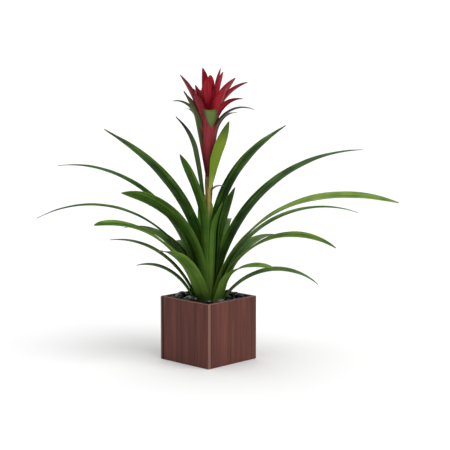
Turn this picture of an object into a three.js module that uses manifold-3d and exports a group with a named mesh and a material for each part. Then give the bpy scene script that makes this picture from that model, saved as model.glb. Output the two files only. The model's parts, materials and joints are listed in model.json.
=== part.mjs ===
// A potted bromeliad: a rosette of strap leaves round a tall red flower head,
// planted in a square wooden pot and dressed with black pebbles.
// Millimetres, +Z up, the origin at the centre of the pot's underside.
// The pot's walls face along X and Y. Its front corner is at +X, -Y.

import * as THREE from 'three';
import { ConvexGeometry } from 'three/addons/geometries/ConvexGeometry.js';
import { mergeVertices } from 'three/addons/utils/BufferGeometryUtils.js';
import Module from 'manifold-3d';

const wasm = await Module();
wasm.setup();

// Driving dimensions of the pot and what fills it
const POT_SIDE = 127;
const POT_HEIGHT = 120;
const BOARD = 6.5;
const CHAMFER = 0.75;
const LINER_WALL = 1.25;
const LINER_TOP = 112;
const SEAT_GAP = 0.3;
const SOIL_TOP = 102.5;

// The plant's stem: a root crown in the soil, and the flower stalk
const CROWN_RADIUS = 24;
const CROWN_BOTTOM = 80;
const CROWN_EDGE_TOP = 90;
const STALK_RADIUS = 5;
const STALK_TIP_RADIUS = 3.6;
const STALK_TOP = 376;

// Leaf bases wrap the stem in shells, one outside the other
const FIRST_SHELL = 8.4;
const SHELL_STEP = 0.95;
const SHELL_LEAN = 2.1;
const BLADE = 0.75;
const FRONT_CORNER = -45;

const DEGREE = Math.PI / 180;

const COLOURS = {
  wood: 0x5f403a,
  plastic: 0x1c1c1d,
  soil: 0x33261d,
  pebble: 0x2b2d2c,
  stem: 0x6b8338,
  leaf: 0x3f602c,
  bract: 0x7f9c38,
  bloom: 0xa12430,
};

function material(colour, roughness) {
  return new THREE.MeshStandardMaterial({ color: colour, roughness, metalness: 0 });
}

function named(name, geometry, colour, roughness) {
  const mesh = new THREE.Mesh(geometry, material(colour, roughness));
  mesh.name = name;
  return mesh;
}

// A repeatable stream of draws between 0 and 1
function randomStream(seed) {
  let state = seed >>> 0;
  return () => {
    state = (Math.imul(state, 1664525) + 1013904223) >>> 0;
    return state / 2 ** 32;
  };
}

// Blends from 0 to 1 as value goes from start to end
function ease(value, start, end) {
  return THREE.MathUtils.smoothstep(value, start, end);
}

function toSolid(geometry) {
  const bare = geometry.clone();
  bare.deleteAttribute('normal');
  bare.deleteAttribute('uv');
  const merged = mergeVertices(bare.index ? bare.toNonIndexed() : bare);
  return new wasm.Manifold(new wasm.Mesh({
    numProp: 3,
    vertProperties: new Float32Array(merged.attributes.position.array),
    triVerts: new Uint32Array(merged.index.array),
  }));
}

// The outermost closed skin of a solid: pockets that fusing sealed are filled
function toGeometry(solid) {
  const { numProp, vertProperties, triVerts } = solid.getMesh();
  const corner = (v) => new THREE.Vector3(
    vertProperties[v * numProp],
    vertProperties[v * numProp + 1],
    vertProperties[v * numProp + 2],
  );
  const parent = Array.from({ length: vertProperties.length / numProp }, (_, v) => v);
  const root = (v) => {
    let top = v;
    while (parent[top] !== top) {
      parent[top] = parent[parent[top]];
      top = parent[top];
    }
    return top;
  };
  for (let t = 0; t < triVerts.length; t += 3) {
    parent[root(triVerts[t])] = root(triVerts[t + 1]);
    parent[root(triVerts[t + 1])] = root(triVerts[t + 2]);
  }
  const volumes = new Map();
  for (let t = 0; t < triVerts.length; t += 3) {
    const [a, b, c] = [corner(triVerts[t]), corner(triVerts[t + 1]), corner(triVerts[t + 2])];
    const skin = root(triVerts[t]);
    volumes.set(skin, (volumes.get(skin) ?? 0) + a.dot(b.cross(c)) / 6);
  }
  const outer = [...volumes.entries()].sort((p, q) => q[1] - p[1])[0][0];
  const kept = [];
  for (let t = 0; t < triVerts.length; t += 3) {
    if (root(triVerts[t]) === outer) {
      kept.push(...triVerts.slice(t, t + 3));
    }
  }
  const points = kept.flatMap((v) => corner(v).toArray());
  const geometry = new THREE.BufferGeometry();
  geometry.setAttribute('position', new THREE.Float32BufferAttribute(points, 3));
  return mergeVertices(geometry);
}

// A box between two corners, with its edges taken off
function chamferedBox(low, high, chamfer) {
  const points = [];
  for (const flat of [0, 1, 2]) {
    for (let corner = 0; corner < 8; corner += 1) {
      const place = [0, 1, 2].map((axis) => {
        const inset = axis === flat ? 0 : chamfer;
        return (corner >> axis) & 1 ? high[axis] - inset : low[axis] + inset;
      });
      points.push(new THREE.Vector3(...place));
    }
  }
  return new ConvexGeometry(points);
}

// Four upright boards, each running past the end of one neighbour, and a floor
function potBoards() {
  const outer = POT_SIDE / 2;
  const inner = outer - BOARD;
  const boards = [
    ['board_front', [-inner, -outer, 0], [outer, -inner, POT_HEIGHT]],
    ['board_right', [inner, -inner, 0], [outer, outer, POT_HEIGHT]],
    ['board_back', [-outer, inner, 0], [inner, outer, POT_HEIGHT]],
    ['board_left', [-outer, -outer, 0], [-inner, inner, POT_HEIGHT]],
    ['bottom_board', [-inner, -inner, 0], [inner, inner, BOARD]],
  ];
  return boards.map(([name, low, high]) => (
    named(name, chamferedBox(low, high, CHAMFER), COLOURS.wood, 0.55)
  ));
}

function block(half, low, high) {
  return new THREE.BoxGeometry(half * 2, half * 2, high - low).translate(0, 0, (low + high) / 2);
}

// A round bar with a straight axis along Z, to cut plain holes with
function bar(radius, low, high) {
  return new THREE.CylinderGeometry(radius, radius, high - low, 24)
    .rotateX(Math.PI / 2)
    .translate(0, 0, (low + high) / 2);
}

const linerHalf = POT_SIDE / 2 - BOARD - 2 * SEAT_GAP;
const fillHalf = linerHalf - LINER_WALL - SEAT_GAP;
const linerFloor = BOARD + SEAT_GAP;
const holeRadius = CROWN_RADIUS + 5;

function liner() {
  const outside = toSolid(block(linerHalf, linerFloor, LINER_TOP));
  const inside = toSolid(block(linerHalf - LINER_WALL, linerFloor + LINER_WALL, LINER_TOP + 1));
  return named('liner', toGeometry(outside.subtract(inside)), COLOURS.plastic, 0.45);
}

function soil() {
  const low = linerFloor + LINER_WALL + SEAT_GAP;
  const body = toSolid(block(fillHalf, low, SOIL_TOP));
  const hole = toSolid(bar(holeRadius, CROWN_BOTTOM - SEAT_GAP, SOIL_TOP + 1));
  return named('soil', toGeometry(body.subtract(hole)), COLOURS.soil, 0.95);
}

// Pebbles lie in staggered rows on a bed, round the plant and clear of it.
// They are heaped towards the back corner, where they stand above the rim.
function pebbleDressing() {
  const draw = randomStream(11);
  const spacing = 17.5;
  const bedLow = SOIL_TOP + SEAT_GAP;
  const bedHigh = 109;
  const clearRadius = 40;
  let body = toSolid(block(fillHalf, bedLow, bedHigh));
  for (let row = -3; row <= 3; row += 1) {
    for (let column = -3; column <= 3; column += 1) {
      const longRadius = 8.2 + 2.6 * draw();
      const shortRadius = longRadius * (0.7 + 0.25 * draw());
      const limit = fillHalf - longRadius - 0.2;
      const stagger = row % 2 === 0 ? 0 : spacing / 2;
      const x = THREE.MathUtils.clamp(column * spacing + stagger + 4 * (draw() - 0.5), -limit, limit);
      const y = THREE.MathUtils.clamp(row * spacing * 0.9 + 4 * (draw() - 0.5), -limit, limit);
      const turn = Math.PI * draw();
      const tilt = 0.5 * (draw() - 0.5);
      const lift = 2.2 * draw();
      if (Math.hypot(x, y) < clearRadius + 0.4 * longRadius) {
        continue;
      }
      const backward = (y - x) / (2 * fillHalf);
      const pebble = new THREE.SphereGeometry(1, 6, 4)
        .scale(longRadius, shortRadius, 5.6)
        .rotateX(tilt)
        .rotateZ(turn)
        .translate(x, y, 112.5 + 3.4 * backward + lift);
      body = body.add(toSolid(pebble));
    }
  }
  const middle = toSolid(bar(clearRadius, bedLow - 1, POT_HEIGHT + 20));
  return named('pebble_dressing', toGeometry(body.subtract(middle)), COLOURS.pebble, 0.4);
}

// Height of the root crown's upper face at a distance from its middle
function crownTop(radius) {
  const inward = (CROWN_RADIUS - radius) / (CROWN_RADIUS - STALK_RADIUS);
  return CROWN_EDGE_TOP + 14 * inward ** 1.5;
}

function stem() {
  const profile = [new THREE.Vector2(0, CROWN_BOTTOM)];
  profile.push(new THREE.Vector2(CROWN_RADIUS * 0.8, CROWN_BOTTOM));
  profile.push(new THREE.Vector2(CROWN_RADIUS, CROWN_BOTTOM + 4));
  for (const radius of [CROWN_RADIUS, 19, 14, 10, 7.5]) {
    profile.push(new THREE.Vector2(radius, crownTop(radius)));
  }
  profile.push(new THREE.Vector2(STALK_RADIUS, 116));
  profile.push(new THREE.Vector2(STALK_RADIUS, 328));
  profile.push(new THREE.Vector2(STALK_TIP_RADIUS, 340));
  profile.push(new THREE.Vector2(STALK_TIP_RADIUS, STALK_TOP));
  profile.push(new THREE.Vector2(0, STALK_TOP));
  // A lathe turns its profile round Y, so the stem is stood up afterwards
  const turned = new THREE.LatheGeometry(profile, 20).rotateX(Math.PI / 2);
  return named('stem', toGeometry(toSolid(turned)), COLOURS.stem, 0.5);
}

// The midrib lies in an upright plane through the stem. It keeps the foot's lean
// from the upright along the sheath, then bends to the lean of the tip: evenly
// at a bend of 1, early under 1 and late over 1. Stations close up towards the tip.
function midrib({ footRadius, footHeight, footLean, tipLean, sheath, bend, length }, stations) {
  const fineSteps = 8;
  const count = stations * fineSteps;
  const shareAt = (i) => 1 - (1 - i / count) ** 1.4;
  const leanAt = (s) => {
    const free = Math.max(0, (s - sheath) / (1 - sheath));
    const bent = bend < 1 ? 1 - (1 - free) ** (1 / bend) : free ** bend;
    return (footLean + (tipLean - footLean) * bent) * DEGREE;
  };
  const points = [{ s: 0, reach: footRadius, height: footHeight, lean: leanAt(0) }];
  let reach = footRadius;
  let height = footHeight;
  for (let i = 1; i <= count; i += 1) {
    const [before, s] = [shareAt(i - 1), shareAt(i)];
    const middle = leanAt((before + s) / 2);
    reach += length * (s - before) * Math.sin(middle);
    height += length * (s - before) * Math.cos(middle);
    if (i % fineSteps === 0) {
      points.push({ s, reach, height, lean: leanAt(s) });
    }
  }
  return points;
}

// Half the blade's width: a clasping foot, an even strap and a tapered tip. Near
// the stem the blade is no wider than it can wrap.
function halfWidth({ footHalf, width, wrap, taperStart, blunt }, s, reach) {
  const tipHalf = 0.8;
  const free = THREE.MathUtils.lerp(footHalf, width / 2, ease(s, 0, 0.28));
  const strap = Math.min(free, wrap * reach);
  const outward = Math.max(0, (s - taperStart) / (1 - taperStart));
  return tipHalf + (strap - tipHalf) * (1 - outward ** blunt);
}

// One thin blade. Its sides wrap round the stem's axis, so a foot near the axis
// is a sheath, and further out they rise into a shallow channel.
function blade(shape, stations, across) {
  const upper = [];
  const lower = [];
  for (const { s, reach, height, lean } of midrib(shape, stations)) {
    const half = halfWidth(shape, s, reach);
    const roll = shape.roll * DEGREE * ease(s, 0.15, 0.8);
    const heading = (FRONT_CORNER + shape.turn + shape.drift * s * s) * DEGREE;
    const channel = shape.channel * half * ease(s, 0.1, 0.5);
    for (let j = 0; j <= across; j += 1) {
      const side = (2 * j) / across - 1;
      for (const [face, offset] of [[upper, BLADE / 2], [lower, -BLADE / 2]]) {
        const rise = channel * side * side + offset;
        const sideways = side * half * Math.cos(roll) - rise * Math.sin(roll);
        const outOfPlane = side * half * Math.sin(roll) + rise * Math.cos(roll);
        const distance = reach - outOfPlane * Math.cos(lean);
        const angle = heading + sideways / reach;
        face.push([
          distance * Math.cos(angle),
          distance * Math.sin(angle),
          height + outOfPlane * Math.sin(lean),
        ]);
      }
    }
  }
  return closedSheet(upper, lower, stations, across);
}

// Closes two matching grids of points into one solid, split alike on both faces
function closedSheet(upper, lower, rows, across) {
  const points = [...upper, ...lower];
  const under = upper.length;
  const at = (i, j) => i * (across + 1) + j;
  const index = [];
  const quad = (a, b, c, d) => index.push(a, b, c, a, c, d);
  for (let i = 0; i < rows; i += 1) {
    for (let j = 0; j < across; j += 1) {
      const [a, b, c, d] = [at(i, j), at(i, j + 1), at(i + 1, j + 1), at(i + 1, j)];
      index.push(a, c, b, a, d, c);
      index.push(under + a, under + b, under + c, under + a, under + c, under + d);
    }
    quad(at(i, 0), under + at(i, 0), under + at(i + 1, 0), at(i + 1, 0));
    quad(at(i, across), at(i + 1, across), under + at(i + 1, across), under + at(i, across));
  }
  for (let j = 0; j < across; j += 1) {
    quad(at(0, j), at(0, j + 1), under + at(0, j + 1), under + at(0, j));
    quad(at(rows, j), under + at(rows, j), under + at(rows, j + 1), at(rows, j + 1));
  }
  const geometry = new THREE.BufferGeometry();
  geometry.setAttribute('position', new THREE.Float32BufferAttribute(points.flat(), 3));
  geometry.setIndex(index);
  return geometry;
}

// The leaves. Each row is the leaf's turn in degrees from the pot's front corner
// (anticlockwise from above), its shell, its length, the lean of its tip from
// the upright, the share of its length that is an upright sheath, its bend, its
// width, how blunt its tip is, its roll, and its drift to one side at the tip.
const LEAVES = [
  [-44, 1, 303, 31, 0.5, 0.4, 26, 8, 0, 0],
  [58, 1, 200, 25, 0.66, 0.85, 28, 2.6, 0, 0],
  [-125, 2, 432, 66, 0.17, 0.61, 36, 2.4, 0, 0],
  [125, 2, 404, 64, 0.35, 0.67, 34, 3, 0, 0],
  [144, 3, 236, 43, 0.33, 0.9, 30, 2.6, 0, 0],
  [-60, 3, 309, 82, 0.19, 1, 38, 8, 26, 0],
  [-98, 4, 425, 97, 0.06, 1.2, 32, 1.8, -4, 0],
  [116, 4, 479, 89, 0.09, 0.82, 38, 2.2, 0, 0],
  [-80, 5, 413, 117, 0.05, 1.05, 32, 1.9, 0, 0],
  [75, 5, 457, 102, 0.07, 0.78, 36, 4.5, 14, 0],
  [-178, 5, 320, 94, 0.06, 1, 34, 2.2, 0, 0],
  [94, 6, 369, 109, 0.09, 1, 32, 2, 0, 0],
  [-150, 6, 310, 98, 0.06, 1, 34, 2.2, 0, 0],
  [-64, 7, 298, 96, 0, 1.23, 36, 8, -12, 0],
  [70, 7, 310, 121, 0.06, 1.14, 32, 3.2, 12, 0],
  [168, 7, 281, 104, 0.06, 1.04, 32, 2.2, 0, 0],
  [-32, 8, 209, 85, 0, 1.15, 34, 6, 0, 0],
  [-130, 8, 271, 106, 0.07, 1.1, 30, 2.4, 0, 0],
  [-90, 9, 229, 94, 0, 1.3, 30, 2.4, 0, 0],
  [134, 9, 252, 109, 0.07, 1.1, 32, 2.4, 0, 0],
  [52, 10, 183, 90, 0.3, 0.46, 30, 3.4, 10, 0],
  [-156, 10, 207, 108, 0.06, 1.4, 32, 2.4, 0, 0],
  [92, 11, 225, 131, 0, 1.04, 30, 3, 6, 0],
  [-88, 11, 156, 102, 0, 1.6, 30, 3.2, 0, 0],
  [178, 12, 203, 112, 0, 1.1, 32, 2.6, 0, 0],
];

function leaves() {
  return LEAVES.map((row, order) => {
    const [turn, shell, length, tipLean, sheath, bend, width, blunt, roll, drift] = row;
    const footRadius = FIRST_SHELL + SHELL_STEP * shell;
    const shape = {
      turn,
      footRadius,
      footHeight: crownTop(footRadius) + 2 * SEAT_GAP,
      footHalf: 16,
      wrap: 0.85,
      footLean: SHELL_LEAN * shell,
      tipLean,
      sheath,
      bend,
      length,
      width,
      taperStart: 0.5,
      blunt,
      roll,
      drift,
      channel: 0.16,
    };
    const name = `leaf_${String(order + 1).padStart(2, '0')}`;
    return named(name, blade(shape, 11, 4), COLOURS.leaf, 0.42);
  });
}

// The small leaves that clasp the flower stalk. Each row is a turn, the height
// of its foot, its length, its lean at the foot and at the tip, the share that is
// sheath, its bend, its width, how blunt its tip is, and its roll.
const STALK_BRACTS = [
  [46, 322, 134, 18, 24, 0.2, 1, 30, 2.6, -12],
  [-72, 268, 200, 9, 46, 0.62, 0.8, 18, 1.7, 30],
  [172, 262, 150, 6, 20, 0.2, 1, 18, 2, 0],
  [92, 314, 30, 24, 100, 0.1, 0.7, 13, 2.4, 0],
];

function stalkBracts() {
  return STALK_BRACTS.map((row, order) => {
    const [turn, footHeight, length, footLean, tipLean, sheath, bend, width, blunt, roll] = row;
    const footRadius = STALK_RADIUS + SEAT_GAP + BLADE / 2 + 0.1;
    const shape = {
      turn,
      footRadius,
      footHeight,
      footHalf: 5,
      wrap: 0.65,
      footLean,
      tipLean,
      sheath,
      bend,
      length,
      width,
      taperStart: 0.4,
      blunt,
      roll,
      drift: 0,
      channel: 0.2,
    };
    return named(`stalk_bract_${order + 1}`, blade(shape, 10, 4), COLOURS.bract, 0.45);
  });
}

// The flower head's bracts, from the lowest. Each row is a turn, the height of its
// foot, its length, its lean at the tip, the share that is sheath, its bend, its
// width, how blunt its tip is, and its roll.
const BLOOM_BRACTS = [
  [4, 350, 186, 172, 0.5, 1, 25, 10, 0],
  [-88, 350, 160, 98, 0.62, 1.2, 24, 2, 20],
  [180, 352, 134, 92, 0.5, 1.3, 30, 2.4, 0],
  [116, 356, 130, 96, 0.5, 1.3, 26, 2.4, 0],
  [-138, 360, 130, 90, 0.5, 1.3, 26, 2.4, 0],
  [84, 374, 146, 112, 0.35, 1.1, 22, 2, 10],
  [-70, 376, 134, 34, 0.3, 1, 20, 1.8, 20],
  [156, 380, 130, 82, 0.4, 1.2, 26, 2.4, 0],
  [66, 384, 136, 92, 0.4, 1.2, 26, 2.6, -16],
  [-116, 388, 120, 44, 0.3, 1, 26, 2.4, 0],
  [-165, 392, 130, 64, 0.3, 1.1, 26, 2.4, 0],
  [-92, 402, 138, 34, 0.2, 1, 26, 4, 24],
  [92, 398, 145, 72, 0.3, 1.2, 26, 3, -24],
  [36, 396, 130, 42, 0.2, 0.9, 28, 3, 0],
  [-36, 400, 106, 34, 0.2, 1, 26, 3, 0],
  [132, 402, 142, 56, 0.2, 1.1, 24, 3, 10],
  [-150, 404, 120, 58, 0.2, 1, 24, 3, 0],
  [-4, 412, 118, 26, 0.1, 1, 28, 4, 0],
  [112, 420, 124, 8, 0.1, 1, 26, 6, -24],
  [-140, 422, 122, -2, 0.1, 1, 26, 6, 20],
  [56, 424, 116, 18, 0.1, 1, 24, 4, 0],
  [-84, 420, 94, 12, 0.1, 1, 24, 4, 24],
  [14, 426, 106, 4, 0.1, 1, 26, 5, 0],
];

function bloom() {
  const base = 344;
  const coreProfile = [
    [0, base],
    [5.2, base],
    [8, 380],
    [10.5, 430],
    [7, 480],
    [0, 500],
  ].map(([radius, height]) => new THREE.Vector2(radius, height));
  let body = toSolid(new THREE.LatheGeometry(coreProfile, 14).rotateX(Math.PI / 2));
  for (const row of BLOOM_BRACTS) {
    const [turn, footHeight, length, tipLean, sheath, bend, width, blunt, roll] = row;
    const shape = {
      turn,
      footRadius: 5.5,
      footHeight,
      footHalf: 8,
      wrap: 1.1,
      footLean: 10,
      tipLean,
      sheath,
      bend,
      length,
      width,
      taperStart: 0.4,
      blunt,
      roll,
      drift: 0,
      channel: 0.24,
    };
    body = body.add(toSolid(blade(shape, 7, 4)));
  }
  const socket = toSolid(bar(STALK_TIP_RADIUS + SEAT_GAP, base - 1, STALK_TOP + SEAT_GAP));
  return named('bloom', toGeometry(body.subtract(socket)), COLOURS.bloom, 0.45);
}

const bromeliad = new THREE.Group();
bromeliad.add(...potBoards(), liner(), soil(), pebbleDressing());
bromeliad.add(stem(), ...leaves(), ...stalkBracts(), bloom());

export default bromeliad;
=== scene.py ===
import json
import math

import bmesh
import bpy
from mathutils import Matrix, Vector

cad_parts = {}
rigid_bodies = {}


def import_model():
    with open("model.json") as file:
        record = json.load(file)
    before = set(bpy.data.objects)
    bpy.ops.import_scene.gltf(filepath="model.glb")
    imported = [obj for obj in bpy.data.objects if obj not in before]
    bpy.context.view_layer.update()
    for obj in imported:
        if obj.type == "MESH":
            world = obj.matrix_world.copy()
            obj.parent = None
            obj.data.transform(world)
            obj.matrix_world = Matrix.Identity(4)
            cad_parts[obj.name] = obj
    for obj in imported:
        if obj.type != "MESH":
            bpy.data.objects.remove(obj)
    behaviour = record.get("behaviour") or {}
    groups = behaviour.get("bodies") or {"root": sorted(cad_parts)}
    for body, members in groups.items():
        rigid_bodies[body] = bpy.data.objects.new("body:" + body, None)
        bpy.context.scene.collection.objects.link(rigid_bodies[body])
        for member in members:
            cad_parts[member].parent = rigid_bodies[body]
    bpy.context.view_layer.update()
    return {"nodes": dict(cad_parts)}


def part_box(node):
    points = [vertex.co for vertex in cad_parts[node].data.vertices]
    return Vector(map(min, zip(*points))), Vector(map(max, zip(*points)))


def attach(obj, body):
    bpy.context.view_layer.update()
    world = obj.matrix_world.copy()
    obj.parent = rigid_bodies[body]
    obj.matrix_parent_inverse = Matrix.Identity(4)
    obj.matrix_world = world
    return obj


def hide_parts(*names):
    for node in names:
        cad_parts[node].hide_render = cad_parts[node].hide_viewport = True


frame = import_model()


# The pot's four walls and its floor are solid boards of pine, planed, stained a
# red brown and sealed with a thin satin coat. They are butted and glued, so one
# strip of end grain and one dark joint show beside each corner; the dark line
# of the joint is part dirt and part painted shade.
MM = 0.001
POT_HALF = 63.5 * MM
POT_TOP = 120 * MM
WALL_INSIDE = 57 * MM
WOOD_STAIN = "#62362f"
WOOD_DARK = "#43241f"
WOOD_LIGHT = "#7d4a3b"
BOARD_END = "#8a5f53"
# Pale wear with a painted highlight on the outer edges and rim; dirt with painted shade in the joints
# and inner edges
EDGE_WEAR_AND_HIGHLIGHT = "#a5857a"
JOINT_GRIME_AND_SHADE = "#1d100e"
# The finest grain of pine is too narrow to show, so these streaks are its wider ones
GRAIN_WIDTH = 1.3 * MM
GRAIN_LENGTH = 90 * MM
FIGURE_WIDTH = 8 * MM
FIGURE_LENGTH = 220 * MM
# Each joint's place and how far from it the dark line reaches, part dirt and part painted shade: one
# has opened
JOINTS = ((WALL_INSIDE, POT_HALF, 1.3 * MM), (-WALL_INSIDE, -POT_HALF, 3.0 * MM),
          (POT_HALF, -WALL_INSIDE, 0.9 * MM), (-POT_HALF, WALL_INSIDE, 1.3 * MM))


def linear(colour):
    """An sRGB hex colour as linear red, green, blue and alpha."""
    shares = (int(colour[i:i + 2], 16) / 255 for i in (1, 3, 5))
    return tuple(c / 12.92 if c <= 0.04045 else ((c + 0.055) / 1.055) ** 2.4 for c in shares) + (1.0,)


def add(tree, kind, inputs=(), stops=(), **settings):
    """Adds a node with its settings, a ramp's stops and its inputs, given in order or
    by number or name. An input is a value, or a link: from a socket, from a node's
    first output, or from each of a list."""
    node = tree.nodes.new(kind)
    for name, value in settings.items():
        setattr(node, name, value)
    for order, (place, colour) in enumerate(stops):
        if order > 1:
            node.color_ramp.elements.new(place)
        node.color_ramp.elements[order].position = place
        node.color_ramp.elements[order].color = linear(colour)
    for key, value in inputs.items() if isinstance(inputs, dict) else enumerate(inputs):
        for source in value if isinstance(value, list) else [value]:
            if isinstance(source, bpy.types.Node):
                source = source.outputs[0]
            if isinstance(source, bpy.types.NodeSocket):
                tree.links.new(source, node.inputs[key])
            else:
                node.inputs[key].default_value = source
    return node


def new_material(name):
    """An empty material, named for its finish, and its tree."""
    material = bpy.data.materials.new(name)
    material.use_nodes = True
    material.node_tree.nodes.clear()
    return material, material.node_tree


def stained_pine(name, grain_axis, end_axis):
    """Stained softwood: fine dark and light streaks along the board over a slow
    figure, pale end grain, outer edges pale with wear and a painted highlight, and
    dirt with painted shade in the joints and along the inner edges."""
    material, tree = new_material(name)
    place = add(tree, "ShaderNodeTexCoord").outputs["Object"]
    fine = [1 / GRAIN_WIDTH] * 3
    fine[grain_axis] = 1 / GRAIN_LENGTH
    broad = [1 / FIGURE_WIDTH] * 3
    broad[grain_axis] = 1 / FIGURE_LENGTH
    streaks_at = add(tree, "ShaderNodeMapping", {"Vector": place, "Scale": tuple(fine)})
    figure_at = add(tree, "ShaderNodeMapping", {"Vector": place, "Scale": tuple(broad)})
    streaks = add(tree, "ShaderNodeTexNoise", {
        "Vector": streaks_at, "Scale": 1.0, "Detail": 3.0, "Roughness": 0.6})
    figure = add(tree, "ShaderNodeTexNoise", {
        "Vector": figure_at, "Scale": 1.0, "Detail": 2.0, "Distortion": 0.4})
    both = add(tree, "ShaderNodeMix", {0: 0.5, 2: streaks, 3: figure})

    # A chamfer's face looks along no axis, so its largest share of any is under 0.8
    facing = add(tree, "ShaderNodeNewGeometry").outputs["True Normal"]
    facing = add(tree, "ShaderNodeVectorMath", (facing,), operation="ABSOLUTE")
    shares = add(tree, "ShaderNodeSeparateXYZ", (facing,)).outputs
    level = add(tree, "ShaderNodeMath", (shares[0], shares[1]), operation="MAXIMUM")
    largest = add(tree, "ShaderNodeMath", (level, shares[2]), operation="MAXIMUM")
    chamfer = add(tree, "ShaderNodeMapRange", {"Value": largest, "From Min": 0.9, "From Max": 0.75})
    end = add(tree, "ShaderNodeMapRange", {
        "Value": shares[end_axis], "From Min": 0.85, "From Max": 0.95, "To Max": 0.8})

    # The pot's outer corners and its rim are pale with wear and a painted highlight; every other edge
    # is grimy and darkened with painted shade
    apart = add(tree, "ShaderNodeVectorMath", (place,), operation="ABSOLUTE")
    apart = add(tree, "ShaderNodeSeparateXYZ", (apart,)).outputs
    outward = add(tree, "ShaderNodeMath", (apart[0], apart[1]), operation="ADD")
    corner = add(tree, "ShaderNodeMapRange", {
        "Value": outward, "From Min": 2 * POT_HALF - 4 * MM, "From Max": 2 * POT_HALF - 2 * MM})
    rim = add(tree, "ShaderNodeMapRange", {
        "Value": apart[2], "From Min": POT_TOP - 1.5 * MM, "From Max": POT_TOP - 0.7 * MM})
    exposed = add(tree, "ShaderNodeMath", (corner, rim), operation="MAXIMUM")
    worn_and_highlit = add(tree, "ShaderNodeMath", (chamfer, exposed), operation="MULTIPLY")
    worn_and_highlit = add(tree, "ShaderNodeMath", (worn_and_highlit, streaks), operation="MULTIPLY")
    inside = add(tree, "ShaderNodeMath", (1.0, exposed), operation="SUBTRACT")
    hidden = add(tree, "ShaderNodeMath", (chamfer, inside), operation="MULTIPLY")
    flat = add(tree, "ShaderNodeVectorMath", (place, (1, 1, 0)), operation="MULTIPLY")
    nearest = 1.0
    for x, y, reach in JOINTS:
        gap = add(tree, "ShaderNodeVectorMath", (flat, (x, y, 0)), operation="DISTANCE")
        gap = add(tree, "ShaderNodeMath", (gap.outputs["Value"], reach), operation="DIVIDE")
        nearest = add(tree, "ShaderNodeMath", (gap, nearest), operation="MINIMUM")
    line = add(tree, "ShaderNodeMapRange", {
        "Value": nearest, "From Min": 1.0, "From Max": 0.45, "To Max": 0.9})
    grime_and_shade = add(tree, "ShaderNodeMath", (hidden, line), operation="MAXIMUM")

    colour = add(tree, "ShaderNodeValToRGB", (both,), stops=(
        (0.3, WOOD_DARK), (0.5, WOOD_STAIN), (0.7, WOOD_LIGHT))).outputs[0]
    # Laid over in turn: the pale end grain, the wear with its painted highlight, and the dirt with
    # painted shade
    for share, over in ((end, BOARD_END), (worn_and_highlit, EDGE_WEAR_AND_HIGHLIGHT), (grime_and_shade, JOINT_GRIME_AND_SHADE)):
        colour = add(tree, "ShaderNodeMix", {
            0: share, 6: colour, 7: linear(over)}, data_type="RGBA").outputs[2]
    bump = add(tree, "ShaderNodeBump", {"Strength": 0.3, "Distance": 0.15 * MM, "Height": both})
    rough = add(tree, "ShaderNodeMapRange", {"Value": streaks, "To Min": 0.48, "To Max": 0.7})
    surface = add(tree, "ShaderNodeBsdfPrincipled", {
        "Base Color": colour, "Roughness": rough, "Normal": bump, "IOR": 1.5,
        "Specular IOR Level": 0.22})
    add(tree, "ShaderNodeOutputMaterial", (surface,))
    return material


def dress(node, material):
    """Gives a CAD node that stays as it is its finished material."""
    piece = frame["nodes"][node]
    piece.data.materials.clear()
    piece.data.materials.append(material)


for wall, end_axis in (("board_front", 0), ("board_back", 0), ("board_right", 1), ("board_left", 1)):
    dress(wall, stained_pine(f"stained_pine_{wall}", 2, end_axis))
dress("bottom_board", stained_pine("stained_pine_floor", 0, 0))


# The liner is a thin square box of black polypropylene, blow moulded, that drops
# into the boards and keeps the wet soil off them. Its rim shows inside the pot.
LINER_BLACK = "#161617"
MOULD_GRAIN = 0.8 * MM


def moulded_polypropylene():
    """Black moulded plastic: dull and even, with the fine bloom of its mould."""
    material, tree = new_material("moulded_polypropylene")
    place = add(tree, "ShaderNodeTexCoord").outputs["Object"]
    grain = add(tree, "ShaderNodeTexNoise", {"Vector": place, "Scale": 1 / MOULD_GRAIN, "Detail": 2.0})
    bump = add(tree, "ShaderNodeBump", {"Strength": 0.2, "Distance": 0.05 * MM, "Height": grain})
    rough = add(tree, "ShaderNodeMapRange", {"Value": grain, "To Min": 0.4, "To Max": 0.55})
    surface = add(tree, "ShaderNodeBsdfPrincipled", {
        "Base Color": linear(LINER_BLACK), "Roughness": rough, "Normal": bump, "IOR": 1.49})
    add(tree, "ShaderNodeOutputMaterial", (surface,))
    return material


dress("liner", moulded_polypropylene())


# The soil is dark peat and bark potting mix, pressed in round the plant's crown.
# Its crumbly top shows only between the leaf feet and the pebbles.
soil_low, soil_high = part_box("soil")
SOIL_HOLE = 27 * MM
CRUMB = 5 * MM
CRUMB_HEIGHT = 1.6 * MM
BARK_BIT = 2.2 * MM
DAMP_PATCH = 12 * MM
PEAT_DARK = "#1d1510"
PEAT_LIGHT = "#4a382b"


def new_tree(name, sizes, **others):
    """A geometry tree with a named input for each size, each other kind and the
    material."""
    tree = bpy.data.node_groups.new(name, "GeometryNodeTree")
    tree.interface.new_socket("Geometry", in_out="OUTPUT", socket_type="NodeSocketGeometry")
    tree.interface.new_socket("Geometry", in_out="INPUT", socket_type="NodeSocketGeometry")
    kinds = {**dict.fromkeys(sizes, "NodeSocketFloat"), **others, "Material": "NodeSocketMaterial"}
    for label, kind in kinds.items():
        tree.interface.new_socket(label, in_out="INPUT", socket_type=kind)
    return tree


def end_tree(tree, shape, material):
    """Ends a tree with real geometry that has its material."""
    real = add(tree, "GeometryNodeRealizeInstances", (shape,))
    dressed = add(tree, "GeometryNodeSetMaterial", {"Geometry": real, "Material": material})
    add(tree, "NodeGroupOutput", (dressed,))
    return tree


def placed(name, held):
    """A new object at the origin that holds a mesh, a lamp or a camera."""
    thing = bpy.data.objects.new(name, held)
    bpy.context.scene.collection.objects.link(thing)
    return thing


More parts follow.
